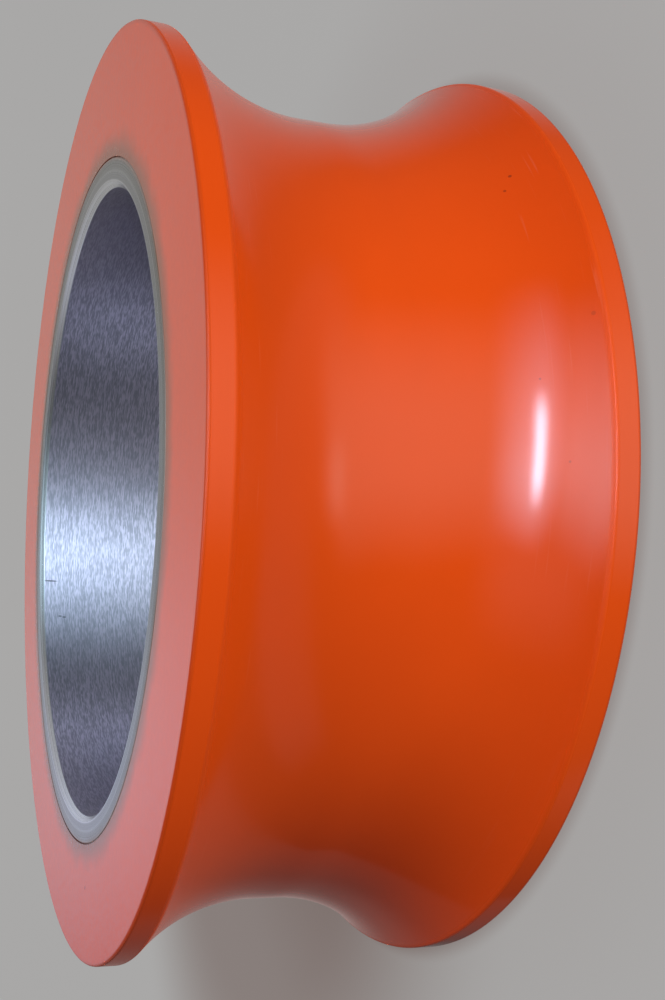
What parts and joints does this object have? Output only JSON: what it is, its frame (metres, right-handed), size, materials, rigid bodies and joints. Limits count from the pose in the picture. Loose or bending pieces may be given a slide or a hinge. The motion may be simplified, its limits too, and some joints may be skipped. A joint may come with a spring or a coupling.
{
  "type": "v-groove wheel",
  "caption": "Wheel with a wide rounded running groove in a cast polyurethane tyre, bonded round a plain bored steel sleeve.",
  "frame": {"origin": "centre of the wheel: on the bore's axis, half way between the two end faces", "axes": "+Z along the bore's axis; the wheel stands on its flat end face, so that axis is upright; X and Y are any two radii at right angles"},
  "size_m": [0.15, 0.15, 0.0576],
  "materials": {
    "polyurethane": "gloss",
    "steel": "satin"
  },
  "bodies": {
    "root": {"tyre": "polyurethane", "sleeve": "steel"}
  },
  "joints": []
}
